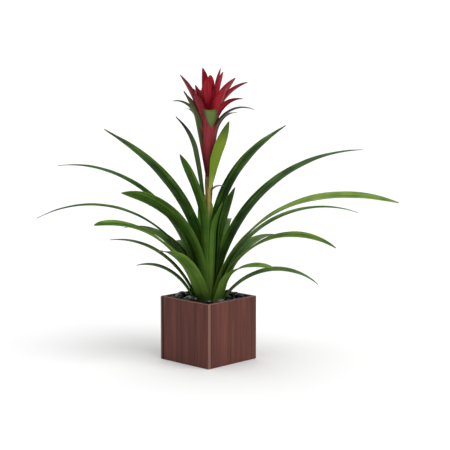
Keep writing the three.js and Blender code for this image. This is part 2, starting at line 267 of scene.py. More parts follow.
def grown(name, tree, values):
    """The mesh that a tree makes with these values, as a piece at the origin."""
    piece = placed(name, bpy.data.meshes.new(name))
    modifier = piece.modifiers.new("tree", "NODES")
    modifier.node_group = tree
    for socket in tree.interface.items_tree:
        if socket.in_out == "INPUT" and socket.name in values:
            value = values[socket.name]
            is_size = socket.socket_type == "NodeSocketFloat"
            modifier[socket.identifier] = float(value) if is_size else value
    evaluated = piece.evaluated_get(bpy.context.evaluated_depsgraph_get())
    mesh = bpy.data.meshes.new_from_object(evaluated)
    piece.modifiers.remove(modifier)
    piece.data = mesh
    mesh.name = name
    return piece


def soil_tree():
    """A block with a round hole for the crown, its top broken into crumbs."""
    tree = new_tree("soil", ("Half side", "Bottom", "Top", "Hole radius", "Crumb", "Crumb height"))
    given = add(tree, "NodeGroupInput").outputs
    ring = add(tree, "GeometryNodeMeshGrid", {
        "Size X": math.tau, "Size Y": 1.0, "Vertices X": 145, "Vertices Y": 26})
    here = add(tree, "GeometryNodeInputPosition")
    turn, from_middle, _ = add(tree, "ShaderNodeSeparateXYZ", (here,)).outputs
    out = add(tree, "ShaderNodeMath", (from_middle, 0.5), operation="ADD")
    across = add(tree, "ShaderNodeMath", (turn,), operation="COSINE")
    along = add(tree, "ShaderNodeMath", (turn,), operation="SINE")
    wide = add(tree, "ShaderNodeMath", (across,), operation="ABSOLUTE")
    deep = add(tree, "ShaderNodeMath", (along,), operation="ABSOLUTE")
    largest = add(tree, "ShaderNodeMath", (wide, deep), operation="MAXIMUM")
    edge = add(tree, "ShaderNodeMath", (given["Half side"], largest), operation="DIVIDE")
    distance = add(tree, "ShaderNodeMix", {0: out, 2: given["Hole radius"], 3: edge})
    x = add(tree, "ShaderNodeMath", (across, distance), operation="MULTIPLY")
    y = add(tree, "ShaderNodeMath", (along, distance), operation="MULTIPLY")
    flat = add(tree, "ShaderNodeCombineXYZ", (x, y, given["Top"]))
    laid = add(tree, "GeometryNodeSetPosition", {"Geometry": ring, "Position": flat})
    fine = add(tree, "ShaderNodeMath", (1.0, given["Crumb"]), operation="DIVIDE")
    crumbs = add(tree, "ShaderNodeTexNoise", {"Vector": here, "Scale": fine, "Detail": 3.0})
    lift = add(tree, "ShaderNodeMath", (crumbs, given["Crumb height"]), operation="MULTIPLY")
    drop = add(tree, "ShaderNodeMath", (lift, given["Crumb height"]), operation="SUBTRACT")
    rise = add(tree, "ShaderNodeCombineXYZ", {2: drop})
    rough = add(tree, "GeometryNodeSetPosition", {"Geometry": laid, "Offset": rise})
    depth = add(tree, "ShaderNodeMath", (given["Bottom"], given["Top"]), operation="SUBTRACT")
    down = add(tree, "ShaderNodeCombineXYZ", {2: depth})
    sunk = add(tree, "GeometryNodeExtrudeMesh", {
        "Mesh": rough, "Offset": down, "Offset Scale": 1.0, "Individual": False})
    flipped = add(tree, "GeometryNodeFlipFaces", {"Mesh": sunk})
    joined = add(tree, "GeometryNodeJoinGeometry", {0: [rough, flipped]})
    welded = add(tree, "GeometryNodeMergeByDistance", {"Geometry": joined, "Distance": 0.05 * MM})
    return end_tree(tree, welded, given["Material"])


def peat_mix():
    """Damp peat with bark bits: near black, dull, with paler dry crumbs."""
    material, tree = new_material("peat_mix")
    place = add(tree, "ShaderNodeTexCoord").outputs["Object"]
    crumbs = add(tree, "ShaderNodeTexVoronoi", {"Vector": place, "Scale": 1 / BARK_BIT}).outputs
    damp = add(tree, "ShaderNodeTexNoise", {"Vector": place, "Scale": 1 / DAMP_PATCH, "Detail": 3.0})
    share = add(tree, "ShaderNodeMath", (crumbs["Color"], damp), operation="MULTIPLY")
    colour = add(tree, "ShaderNodeMix", {
        0: share, 6: linear(PEAT_DARK), 7: linear(PEAT_LIGHT)}, data_type="RGBA").outputs[2]
    bump = add(tree, "ShaderNodeBump", {
        "Strength": 0.8, "Distance": 0.8 * MM, "Height": crumbs["Distance"]})
    surface = add(tree, "ShaderNodeBsdfPrincipled", {
        "Base Color": colour, "Roughness": 0.95, "Normal": bump})
    add(tree, "ShaderNodeOutputMaterial", (surface,))
    return material


soil = grown("potting_soil", soil_tree(), {
    "Half side": soil_high.x, "Bottom": soil_low.z, "Top": soil_high.z,
    "Hole radius": SOIL_HOLE, "Crumb": CRUMB, "Crumb height": CRUMB_HEIGHT,
    "Material": peat_mix()})
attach(soil, "root")
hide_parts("soil")


# The dressing is black river pebbles, tumbled and waxed, with a few grey ones.
# They lie loose on the soil and are heaped towards the back corner of the pot.
pebbles_low, pebbles_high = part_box("pebble_dressing")
BED_TOP = 114.5 * MM
PEBBLE_SHORTEST = 13 * MM
PEBBLE_LONGEST = 20 * MM
PEBBLE_HEAP = 6 * MM
PEBBLE_LUMP = 9 * MM
PEBBLE_PIT = 1.5 * MM
PEBBLE_UNEVEN = 3.5 * MM
PEBBLE_SEED = 5
PEBBLE_BLACK = "#121414"
PEBBLE_GREY = "#4c504e"
PEBBLE_PALE = "#9a9c96"
CLEAR_OF_LEAVES = 34 * MM
# Large and small pebbles: their share of the size, of the spacing, seed and level
PEBBLE_SORTS = ((1.0, 0.78, 0, 0.0), (0.55, 0.5, 7, -0.4))


def pebble_tree():
    """Pebbles scattered on the bed in two sizes: large ones, and small ones that
    fill in between. Each gets its own turn, tilt, length and shade."""
    tree = new_tree("pebbles", (
        "Half side", "Bed bottom", "Bed top", "Clear radius", "Shortest", "Longest", "Heap"),
        Seed="NodeSocketInt")
    given = add(tree, "NodeGroupInput").outputs
    side = add(tree, "ShaderNodeMath", (given["Half side"], 2.0), operation="MULTIPLY")
    place = add(tree, "GeometryNodeInputPosition")
    parts = []
    for size, spacing, seed_step, level in PEBBLE_SORTS:
        apart = add(tree, "ShaderNodeMath", (given["Longest"], spacing), operation="MULTIPLY")
        short = add(tree, "ShaderNodeMath", (given["Shortest"], size / 2), operation="MULTIPLY")
        long = add(tree, "ShaderNodeMath", (given["Longest"], size / 2), operation="MULTIPLY")
        inner = add(tree, "ShaderNodeMath", (side, long), operation="SUBTRACT")
        inner = add(tree, "ShaderNodeMath", (inner, long), operation="SUBTRACT")
        field = add(tree, "GeometryNodeMeshGrid", {
            "Size X": inner, "Size Y": inner, "Vertices X": 2, "Vertices Y": 2})
        seed = add(tree, "ShaderNodeMath", (given["Seed"], seed_step), operation="ADD")
        points = add(tree, "GeometryNodeDistributePointsOnFaces", {
            "Mesh": field, "Distance Min": apart, "Density Max": 60000.0,
            "Seed": seed}, distribute_method="POISSON")
        out = add(tree, "ShaderNodeVectorMath", (place,), operation="LENGTH").outputs["Value"]
        near = add(tree, "ShaderNodeMath", (given["Clear radius"], short), operation="ADD")
        close = add(tree, "FunctionNodeCompare", {"A": out, "B": near}, operation="LESS_THAN")
        kept = add(tree, "GeometryNodeDeleteGeometry", {"Geometry": points, "Selection": close})
        x, y, _ = add(tree, "ShaderNodeSeparateXYZ", (place,)).outputs
        jump = add(tree, "FunctionNodeRandomValue", {2: 0.6, 3: 1.1, "Seed": seed_step + 3}).outputs[1]
        jump = add(tree, "ShaderNodeMath", (jump, level), operation="ADD")
        lift = add(tree, "ShaderNodeMath", (jump, short), operation="MULTIPLY")
        height = y
        for value, operation in ((x, "SUBTRACT"), (side, "DIVIDE"), (given["Heap"], "MULTIPLY"),
                                 (given["Bed top"], "ADD"), (lift, "ADD")):
            height = add(tree, "ShaderNodeMath", (height, value), operation=operation)
        up = add(tree, "ShaderNodeCombineXYZ", {2: height})
        raised = add(tree, "GeometryNodeSetPosition", {"Geometry": kept, "Offset": up})
        ball = add(tree, "GeometryNodeMeshIcoSphere", {"Radius": 1.0, "Subdivisions": 3})
        turn = add(tree, "FunctionNodeRandomValue", {
            0: (-0.3, -0.3, 0.0), 1: (0.3, 0.3, math.tau), "Seed": seed_step + 1},
            data_type="FLOAT_VECTOR")
        shape = add(tree, "FunctionNodeRandomValue", {
            0: (0.0, 0.68, 0.5), 1: (1.0, 0.9, 0.7), "Seed": seed_step + 2},
            data_type="FLOAT_VECTOR")
        how_long, how_wide, how_thick = add(tree, "ShaderNodeSeparateXYZ", (shape,)).outputs
        length = add(tree, "ShaderNodeMix", {0: how_long, 2: short, 3: long})
        wide = add(tree, "ShaderNodeMath", (length, how_wide), operation="MULTIPLY")
        thick = add(tree, "ShaderNodeMath", (length, how_thick), operation="MULTIPLY")
        scale = add(tree, "ShaderNodeCombineXYZ", (length, wide, thick))
        set_out = add(tree, "GeometryNodeInstanceOnPoints", {
            "Points": raised, "Instance": ball, "Rotation": turn, "Scale": scale})
        shade = add(tree, "FunctionNodeRandomValue", {2: 0.0, 3: 1.0, "Seed": seed_step + 4}).outputs[1]
        parts.append(add(tree, "GeometryNodeStoreNamedAttribute", {
            "Geometry": set_out, "Name": "shade", "Value": shade}, domain="INSTANCE"))
    joined = add(tree, "GeometryNodeJoinGeometry", {0: parts})
    real = add(tree, "GeometryNodeRealizeInstances", (joined,))

    # Tumbling never leaves an exact oval: each stone is pushed in and out a little
    lumps = add(tree, "ShaderNodeTexNoise", {"Vector": place, "Scale": 1 / PEBBLE_LUMP, "Detail": 1.0})
    push = add(tree, "ShaderNodeMath", (lumps, 0.5), operation="SUBTRACT")
    push = add(tree, "ShaderNodeMath", (push, PEBBLE_UNEVEN), operation="MULTIPLY")
    facing = add(tree, "GeometryNodeInputNormal")
    shift = add(tree, "ShaderNodeVectorMath", {0: facing, "Scale": push}, operation="SCALE")
    uneven = add(tree, "GeometryNodeSetPosition", {"Geometry": real, "Offset": shift})
    smooth = add(tree, "GeometryNodeSetShadeSmooth", (uneven,))

    # Under them lies a flat bed, with a round hole for the feet of the leaves
    depth = add(tree, "ShaderNodeMath", (given["Bed top"], given["Bed bottom"]), operation="SUBTRACT")
    middle = add(tree, "ShaderNodeMath", (given["Bed top"], given["Bed bottom"]), operation="ADD")
    middle = add(tree, "ShaderNodeMath", (middle, 0.5), operation="MULTIPLY")
    outer = add(tree, "ShaderNodeCombineXYZ", (side, side, depth))
    slab = add(tree, "GeometryNodeMeshCube", {"Size": outer})
    seat = add(tree, "ShaderNodeCombineXYZ", {2: middle})
    slab = add(tree, "GeometryNodeTransform", {"Geometry": slab, "Translation": seat})
    core = add(tree, "GeometryNodeMeshCylinder", {
        "Vertices": 48, "Radius": given["Clear radius"], "Depth": 1.0})
    cut = add(tree, "GeometryNodeMeshBoolean", {"Mesh 1": slab, "Mesh 2": core}, operation="DIFFERENCE")
    whole = add(tree, "GeometryNodeJoinGeometry", {0: [cut, smooth]})
    return end_tree(tree, whole, given["Material"])


def tumbled_basalt():
    """Waxed black basalt: glossy on the crowns of the stones, with a dusting of
    grey in the pits, and here and there a stone that is grey all through."""
    material, tree = new_material("tumbled_basalt")
    place = add(tree, "ShaderNodeTexCoord").outputs["Object"]
    shade = add(tree, "ShaderNodeAttribute", attribute_name="shade").outputs["Fac"]
    stone = add(tree, "ShaderNodeValToRGB", (shade,), stops=(
        (0.55, PEBBLE_BLACK), (0.85, PEBBLE_GREY), (1.0, PEBBLE_PALE)))
    pits = add(tree, "ShaderNodeTexNoise", {"Vector": place, "Scale": 1 / PEBBLE_PIT, "Detail": 3.0})
    dust = add(tree, "ShaderNodeMapRange", {
        "Value": pits, "From Min": 0.55, "From Max": 0.8, "To Max": 0.35})
    colour = add(tree, "ShaderNodeMix", {
        0: dust, 6: stone, 7: linear(PEBBLE_GREY)}, data_type="RGBA").outputs[2]
    bump = add(tree, "ShaderNodeBump", {"Strength": 0.25, "Distance": 0.2 * MM, "Height": pits})
    rough = add(tree, "ShaderNodeMapRange", {"Value": pits, "To Min": 0.22, "To Max": 0.5})
    surface = add(tree, "ShaderNodeBsdfPrincipled", {
        "Base Color": colour, "Roughness": rough, "Normal": bump, "IOR": 1.6})
    add(tree, "ShaderNodeOutputMaterial", (surface,))
    return material


pebbles = grown("river_pebbles", pebble_tree(), {
    "Half side": pebbles_high.x, "Bed bottom": pebbles_low.z, "Bed top": BED_TOP,
    "Clear radius": CLEAR_OF_LEAVES, "Shortest": PEBBLE_SHORTEST, "Longest": PEBBLE_LONGEST,
    "Heap": PEBBLE_HEAP, "Seed": PEBBLE_SEED, "Material": tumbled_basalt()})
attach(pebbles, "root")
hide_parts("pebble_dressing")


# The stem is the plant's short root crown and the flower stalk that grows up out
# of it: firm, green and ribbed, turning olive and orange below the flower head.
CROWN_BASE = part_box("stem")[0].z / MM
CROWN_RADIUS = 24
CROWN_STEPS = (CROWN_RADIUS, 19, 14, 10, 7.5)
CROWN_EDGE_TOP = 90
CROWN_RISE = 14
CROWN_LOW_EDGE = 4
STALK_RADIUS = 5
STALK_TIP_RADIUS = 3.6
STALK_NARROWS = 328
STALK_FOOT = 112
STALK_TOP = 376
STALK_SIDES = 40
STALK_STEP = 4
STALK_JOINTS = (150, 196, 236, 262, 300, 322)
JOINT_SWELLING = 0.25
RIBS = 7
RIB_DEPTH = 0.025
ROOT_BROWN = "#6b5a3a"
STALK_GREEN = "#6f9440"
STALK_OLIVE = "#b39a4c"
STALK_RED = "#6d2a22"
FIBRE_WIDTH = 0.8 * MM
FIBRE_LENGTH = 25 * MM


def crown_top(radius):
    """Height of the root crown's upper face, in mm, at a distance from its middle."""
    inward = (CROWN_RADIUS - radius) / (CROWN_RADIUS - STALK_RADIUS)
    return CROWN_EDGE_TOP + CROWN_RISE * inward ** 1.5


def stem_profile():
    """Radius and height along the stem, in mm, from the middle of its underside."""
    profile = [(0, CROWN_BASE), (CROWN_RADIUS * 0.8, CROWN_BASE),
               (CROWN_RADIUS, CROWN_BASE + CROWN_LOW_EDGE)]
    profile += [(radius, crown_top(radius)) for radius in CROWN_STEPS]
    for height in range(STALK_FOOT, STALK_TOP, STALK_STEP):
        radius = STALK_RADIUS if height < STALK_NARROWS else STALK_TIP_RADIUS
        near = min(abs(height - joint) for joint in STALK_JOINTS)
        profile.append((radius + JOINT_SWELLING * max(0, 1 - near / STALK_STEP), height))
    return profile + [(STALK_TIP_RADIUS, STALK_TOP), (0, STALK_TOP)]


def turned(name, profile, sides, rib_depth=0):
    """A profile in mm turned round the upright axis and closed at both ends, with
    ribs along the part that is stalk."""
    points, faces = [], []
    for row, (radius, height) in enumerate(profile):
        for step in range(sides):
            turn = math.tau * step / sides
            rib = rib_depth * math.cos(RIBS * turn) if height > STALK_FOOT else 0
            out = radius * (1 + rib) * MM
            points.append((out * math.cos(turn), out * math.sin(turn), height * MM))
            if row:
                after = (step + 1) % sides
                old, new = (row - 1) * sides, row * sides
                faces.append((old + step, old + after, new + after, new + step))
    mesh = bpy.data.meshes.new(name)
    mesh.from_pydata(points, [], faces)
    whole = bmesh.new()
    whole.from_mesh(mesh)
    bmesh.ops.remove_doubles(whole, verts=whole.verts, dist=0.01 * MM)
    whole.to_mesh(mesh)
    whole.free()
    mesh.shade_smooth()
    return mesh


def living_stalk():
    """A live stem: waxy and faintly ribbed, brown at the root, green along its
    length, olive to orange under the flower head, and red where the head grips it."""
    material, tree = new_material("living_stalk")
    place = add(tree, "ShaderNodeTexCoord").outputs["Object"]
    height = add(tree, "ShaderNodeSeparateXYZ", (place,)).outputs[2]
    fibres_at = add(tree, "ShaderNodeMapping", {
        "Vector": place, "Scale": (1 / FIBRE_WIDTH, 1 / FIBRE_WIDTH, 1 / FIBRE_LENGTH)})
    fibres = add(tree, "ShaderNodeTexNoise", {"Vector": fibres_at, "Scale": 1.0, "Detail": 3.0})
    sway = add(tree, "ShaderNodeMath", (fibres, 16 * MM, height), operation="MULTIPLY_ADD")
    share = add(tree, "ShaderNodeMapRange", {
        "Value": sway, "From Min": 80 * MM, "From Max": 380 * MM})
    skin = add(tree, "ShaderNodeValToRGB", (share,), stops=(
        (0.06, ROOT_BROWN), (0.2, STALK_GREEN), (0.66, STALK_GREEN),
        (0.76, STALK_OLIVE), (0.9, STALK_OLIVE), (1.0, STALK_RED)))
    mottled = add(tree, "ShaderNodeMix", {
        0: fibres, 6: skin, 7: (0.0, 0.0, 0.0, 1.0)}, data_type="RGBA").outputs[2]
    colour = add(tree, "ShaderNodeMix", {0: 0.5, 6: skin, 7: mottled}, data_type="RGBA").outputs[2]
    bump = add(tree, "ShaderNodeBump", {"Strength": 0.3, "Distance": 0.2 * MM, "Height": fibres})
    surface = add(tree, "ShaderNodeBsdfPrincipled", {
        "Base Color": colour, "Roughness": 0.45, "Normal": bump, "IOR": 1.45})
    add(tree, "ShaderNodeOutputMaterial", (surface,))
    return material


stalk = placed("flower_stalk", turned("flower_stalk", stem_profile(), STALK_SIDES, RIB_DEPTH))
stalk.data.materials.append(living_stalk())
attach(stalk, "root")
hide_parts("stem")


# The leaves are long straps, each clasping the stem with its foot and arching
# out to a tapered tip: tough, smooth and satin, with fine veins along them.
FRONT_CORNER = -45.0
FIRST_SHELL = 8.4
SHELL_STEP = 0.95
SHELL_LEAN = 2.1
SEAT_GAP = 0.3
BLADE = 0.75
BLADE_EDGE = math.radians(50)
TIP_HALF = 0.8
WAVE_LENGTH = 55
LEAF_UPPER = "#3f6420"
LEAF_DARK = "#1c330e"
LEAF_BRIGHT = "#7b9440"
LEAF_UNDER = "#3f5c22"
LEAF_FOOT = "#5f8034"
LEAF_TIP = "#5a4a2a"
# A leaf's veins lie closer than this, too fine to show, so they are drawn coarser
VEIN_SPACING = 1.4
LEAF_VEIN = 90
BRACT_VEIN = 60
BAND_WIDTH = 5.0
BAND_LENGTH = 160
CLOUD = 38 * MM

# Each row repeats the leaf's turn in degrees from the pot's front corner, its
# shell, its length, the lean of its tip, the share that is sheath, its bend, its
# width, how blunt its tip is and its roll, with how bright it is. The shell isn't
# an input of the tree: it says where the foot stands and how far the foot leans.
LEAF_VALUES = ("Turn", "Shell", "Length", "Tip lean", "Sheath", "Bend", "Width", "Blunt", "Roll",
               "Brightness")
LEAVES = [
    (-44, 1, 303, 31, 0.5, 0.4, 26, 8, 0, 0.5),
    (58, 1, 200, 25, 0.66, 0.85, 28, 2.6, 0, 0.6),
    (-125, 2, 432, 66, 0.17, 0.61, 36, 2.4, 0, 0.15),
    (125, 2, 404, 64, 0.35, 0.67, 34, 3, 0, 0.15),
    (144, 3, 236, 43, 0.33, 0.9, 30, 2.6, 0, 0.35),
    (-60, 3, 309, 82, 0.19, 1, 38, 8, 26, 0.45),
    (-98, 4, 425, 97, 0.06, 1.2, 32, 1.8, -4, 0.2),
    (116, 4, 479, 89, 0.09, 0.82, 38, 2.2, 0, 0.2),
    (-80, 5, 413, 117, 0.05, 1.05, 32, 1.9, 0, 0.2),
    (75, 5, 457, 102, 0.07, 0.78, 36, 4.5, 14, 0.75),
    (-178, 5, 320, 94, 0.06, 1, 34, 2.2, 0, 0.35),
    (94, 6, 369, 109, 0.09, 1, 32, 2, 0, 0.4),
    (-150, 6, 310, 98, 0.06, 1, 34, 2.2, 0, 0.3),
    (-64, 7, 298, 96, 0, 1.23, 36, 8, -12, 0.55),
    (70, 7, 310, 121, 0.06, 1.14, 32, 3.2, 12, 0.7),
    (168, 7, 281, 104, 0.06, 1.04, 32, 2.2, 0, 0.35),
    (-32, 8, 209, 85, 0, 1.15, 34, 6, 0, 0.65),
    (-130, 8, 271, 106, 0.07, 1.1, 30, 2.4, 0, 0.3),
    (-90, 9, 229, 94, 0, 1.3, 30, 2.4, 0, 0.4),
    (134, 9, 252, 109, 0.07, 1.1, 32, 2.4, 0, 0.4),
    (52, 10, 183, 90, 0.3, 0.46, 30, 3.4, 10, 0.65),
    (-156, 10, 207, 108, 0.06, 1.4, 32, 2.4, 0, 0.4),
    (92, 11, 225, 131, 0, 1.04, 30, 3, 6, 0.5),
    (-88, 11, 156, 102, 0, 1.6, 30, 3.2, 0, 0.45),
    (178, 12, 203, 112, 0, 1.1, 32, 2.6, 0, 0.4),
]


def lean_tree():
    """The midrib's lean from the upright at a share of its length: the foot's lean
    along the sheath, then a bend to the tip's, early under 1 and late over 1."""
    tree = bpy.data.node_groups.new("lean", "GeometryNodeTree")
    tree.interface.new_socket("Lean", in_out="OUTPUT", socket_type="NodeSocketFloat")
    for size in ("Share", "Sheath", "Bend", "Foot lean", "Tip lean"):
        tree.interface.new_socket(size, in_out="INPUT", socket_type="NodeSocketFloat")
    given = add(tree, "NodeGroupInput").outputs
    free = add(tree, "ShaderNodeMapRange", {"Value": given["Share"], "From Min": given["Sheath"]})
    left = add(tree, "ShaderNodeMath", (1.0, free), operation="SUBTRACT")
    power = add(tree, "ShaderNodeMath", (1.0, given["Bend"]), operation="DIVIDE")
    kept = add(tree, "ShaderNodeMath", (left, power), operation="POWER")
    early = add(tree, "ShaderNodeMath", (1.0, kept), operation="SUBTRACT")
    late = add(tree, "ShaderNodeMath", (free, given["Bend"]), operation="POWER")
    is_early = add(tree, "FunctionNodeCompare", {"A": given["Bend"], "B": 1.0}, operation="LESS_THAN")
    bent = add(tree, "GeometryNodeSwitch", {
        "Switch": is_early, "False": late, "True": early}, input_type="FLOAT")
    lean = add(tree, "ShaderNodeMix", {0: bent, 2: given["Foot lean"], 3: given["Tip lean"]})
    radians = add(tree, "ShaderNodeMath", (lean,), operation="RADIANS")
    add(tree, "NodeGroupOutput", (radians,))
    return tree


def blade_tree():
    """One thin blade, in mm, then brought to metres. Its midrib leans outwards
    step by step, its sides wrap round the stem's axis and rise into a channel, and
    its underside is the upper side set down by the blade's thickness."""
    tree = new_tree("blade", (
        "Turn", "Foot radius", "Foot height", "Foot half", "Foot lean", "Tip lean", "Sheath", "Bend",
        "Length", "Width", "Wrap", "Taper start", "Blunt", "Roll", "Channel", "Wave", "Thickness",
        "Brightness", "Green from", "Darkness", "Seed"),
        Rows="NodeSocketInt", Columns="NodeSocketInt")
    given = add(tree, "NodeGroupInput").outputs
    rows = add(tree, "ShaderNodeMath", (given["Rows"], 1.0), operation="ADD")
    columns = add(tree, "ShaderNodeMath", (given["Columns"], 1.0), operation="ADD")
    grid = add(tree, "GeometryNodeMeshGrid", {
        "Size X": 1.0, "Size Y": 1.0, "Vertices X": rows, "Vertices Y": columns})
    index = add(tree, "GeometryNodeInputIndex")
    ratio = add(tree, "ShaderNodeMath", (index, columns), operation="DIVIDE")
    row = add(tree, "ShaderNodeMath", (ratio,), operation="FLOOR")
    column = add(tree, "ShaderNodeMath", (index, columns), operation="MODULO")

    # Share of the length at this row and the row before it: rows close up to the tip
    shares = []
    for rows_back in (0.0, 1.0):
        here = add(tree, "ShaderNodeMath", (row, rows_back), operation="SUBTRACT")
        here = add(tree, "ShaderNodeMath", (here, 0.0), operation="MAXIMUM")
        here = add(tree, "ShaderNodeMath", (here, given["Rows"]), operation="DIVIDE")
        left = add(tree, "ShaderNodeMath", (1.0, here), operation="SUBTRACT")
        left = add(tree, "ShaderNodeMath", (left, 1.4), operation="POWER")
        shares.append(add(tree, "ShaderNodeMath", (1.0, left), operation="SUBTRACT"))
    share, before = shares
    gap = add(tree, "ShaderNodeMath", (share, before), operation="SUBTRACT")
    middle = add(tree, "ShaderNodeMath", (share, before), operation="ADD")
    middle = add(tree, "ShaderNodeMath", (middle, 0.5), operation="MULTIPLY")
    step = add(tree, "ShaderNodeMath", (gap, given["Length"]), operation="MULTIPLY")
    curve = {size: given[size] for size in ("Sheath", "Bend", "Foot lean", "Tip lean")}
    rule = lean_tree()
    lean = add(tree, "GeometryNodeGroup", {"Share": share, **curve}, node_tree=rule)
    lean_between = add(tree, "GeometryNodeGroup", {"Share": middle, **curve}, node_tree=rule)
    sums = []
    for operation, foot in (("SINE", "Foot radius"), ("COSINE", "Foot height")):
        part = add(tree, "ShaderNodeMath", (lean_between,), operation=operation)
        part = add(tree, "ShaderNodeMath", (part, step), operation="MULTIPLY")
        total = add(tree, "GeometryNodeAccumulateField", {0: part, "Group Index": column})
        sums.append(add(tree, "ShaderNodeMath", (total, given[foot]), operation="ADD"))
    reach, height = sums

    # Half the width: a clasping foot, an even strap and a tapered tip
    widen = add(tree, "ShaderNodeMapRange", {
        "Value": share, "From Max": 0.28}, interpolation_type="SMOOTHSTEP")
    half_width = add(tree, "ShaderNodeMath", (given["Width"], 0.5), operation="MULTIPLY")
    free = add(tree, "ShaderNodeMix", {0: widen, 2: given["Foot half"], 3: half_width})
    limit = add(tree, "ShaderNodeMath", (given["Wrap"], reach), operation="MULTIPLY")
    strap = add(tree, "ShaderNodeMath", (free, limit), operation="MINIMUM")
    outward = add(tree, "ShaderNodeMapRange", {"Value": share, "From Min": given["Taper start"]})
    taper = add(tree, "ShaderNodeMath", (outward, given["Blunt"]), operation="POWER")
    half = add(tree, "ShaderNodeMix", {0: taper, 2: strap, 3: TIP_HALF})

    # Across the blade: the channel, slow waves towards the margins, and the roll
    side = add(tree, "ShaderNodeMath", (column, given["Columns"]), operation="DIVIDE")
    side = add(tree, "ShaderNodeMath", (side, 2.0), operation="MULTIPLY")
    side = add(tree, "ShaderNodeMath", (side, 1.0), operation="SUBTRACT")
    side_squared = add(tree, "ShaderNodeMath", (side, side), operation="MULTIPLY")
    deepen = add(tree, "ShaderNodeMapRange", {
        "Value": share, "From Min": 0.1, "From Max": 0.5}, interpolation_type="SMOOTHSTEP")
    channel = add(tree, "ShaderNodeMath", (given["Channel"], half), operation="MULTIPLY")
    channel = add(tree, "ShaderNodeMath", (channel, deepen), operation="MULTIPLY")
    along = add(tree, "ShaderNodeMath", (share, given["Length"]), operation="MULTIPLY")
    wave_at = add(tree, "ShaderNodeCombineXYZ", (along, side, given["Seed"]))
    wave_at = add(tree, "ShaderNodeVectorMath", (wave_at, (1 / WAVE_LENGTH, 0.9, 3.7)),
                  operation="MULTIPLY")
    skin = add(tree, "ShaderNodeMath", (given["Thickness"], 0.5), operation="MULTIPLY")
    rise = add(tree, "ShaderNodeTexNoise", {"Vector": wave_at, "Scale": 1.0, "Detail": 1.0})
    for value, operation in ((0.5, "SUBTRACT"), (given["Wave"], "MULTIPLY"), (deepen, "MULTIPLY"),
                             (channel, "ADD"), (side_squared, "MULTIPLY"), (skin, "ADD")):
        rise = add(tree, "ShaderNodeMath", (rise, value), operation=operation)
    sideways = add(tree, "ShaderNodeMath", (side, half), operation="MULTIPLY")
    twist = add(tree, "ShaderNodeMapRange", {
        "Value": share, "From Min": 0.15, "From Max": 0.8}, interpolation_type="SMOOTHSTEP")
    roll = add(tree, "ShaderNodeMath", (given["Roll"],), operation="RADIANS")
    roll = add(tree, "ShaderNodeMath", (roll, twist), operation="MULTIPLY")
    section = add(tree, "ShaderNodeCombineXYZ", (sideways, rise))
    rolled = add(tree, "ShaderNodeVectorRotate", {
        "Vector": section, "Angle": roll}, rotation_type="Z_AXIS")
    aside, raised, _ = add(tree, "ShaderNodeSeparateXYZ", (rolled,)).outputs

    # Wrapped round the stem's axis
    level = add(tree, "ShaderNodeMath", (lean,), operation="COSINE")
    inward = add(tree, "ShaderNodeMath", (raised, level), operation="MULTIPLY")
    distance = add(tree, "ShaderNodeMath", (reach, inward), operation="SUBTRACT")
    steep = add(tree, "ShaderNodeMath", (lean,), operation="SINE")
    upward = add(tree, "ShaderNodeMath", (raised, steep), operation="MULTIPLY")
    upward = add(tree, "ShaderNodeMath", (upward, height), operation="ADD")
    heading = add(tree, "ShaderNodeMath", (given["Turn"], FRONT_CORNER), operation="ADD")
    heading = add(tree, "ShaderNodeMath", (heading,), operation="RADIANS")
    bearing = add(tree, "ShaderNodeMath", (aside, reach), operation="DIVIDE")
    bearing = add(tree, "ShaderNodeMath", (bearing, heading), operation="ADD")
    ray = add(tree, "ShaderNodeCombineXYZ", {0: distance, 2: upward})
    spot = add(tree, "ShaderNodeVectorRotate", {
        "Vector": ray, "Angle": bearing}, rotation_type="Z_AXIS")
    spot = add(tree, "ShaderNodeVectorMath", {0: spot, "Scale": MM}, operation="SCALE")

    # What the material reads: place across and along in mm, share of the length,
    # the blade's tints, and how near the margin it is
    on_blade = add(tree, "ShaderNodeCombineXYZ", (sideways, along, share))
    tint = add(tree, "ShaderNodeCombineXYZ", (
        given["Brightness"], given["Green from"], given["Darkness"]))
    edge = add(tree, "ShaderNodeMath", (side,), operation="ABSOLUTE")
    told = grid
    for name, value, kind in (("on_blade", on_blade, "FLOAT_VECTOR"),
                              ("tint", tint, "FLOAT_VECTOR"), ("edge", edge, "FLOAT")):
        told = add(tree, "GeometryNodeStoreNamedAttribute", {
            "Geometry": told, "Name": name, "Value": value}, data_type=kind)
    upper = add(tree, "GeometryNodeSetPosition", {"Geometry": told, "Position": spot})
    depth = add(tree, "ShaderNodeMath", (given["Thickness"], -MM), operation="MULTIPLY")
    lower = add(tree, "GeometryNodeExtrudeMesh", {
        "Mesh": upper, "Offset Scale": depth, "Individual": False})
    marked = add(tree, "GeometryNodeStoreNamedAttribute", {
        "Geometry": lower, "Selection": lower.outputs["Top"],
        "Name": "underside", "Value": 1.0}, domain="FACE")
    flipped = add(tree, "GeometryNodeFlipFaces", {"Mesh": marked})
    joined = add(tree, "GeometryNodeJoinGeometry", {0: [upper, flipped]})
    welded = add(tree, "GeometryNodeMergeByDistance", {"Geometry": joined, "Distance": 0.01 * MM})
    smooth = add(tree, "GeometryNodeSetShadeSmooth", (welded,))
    return end_tree(tree, smooth, given["Material"])


def read_blade(tree, vein_length):
    """The place on a blade that its skin reads, and the veins that run along it."""
    on_blade = add(tree, "ShaderNodeAttribute", attribute_name="on_blade").outputs["Vector"]
    veins_at = add(tree, "ShaderNodeMapping", {
        "Vector": on_blade, "Scale": (1 / VEIN_SPACING, 1 / vein_length, 0.0)})
    veins = add(tree, "ShaderNodeTexNoise", {"Vector": veins_at, "Scale": 1.0, "Detail": 2.0})
    return on_blade, veins


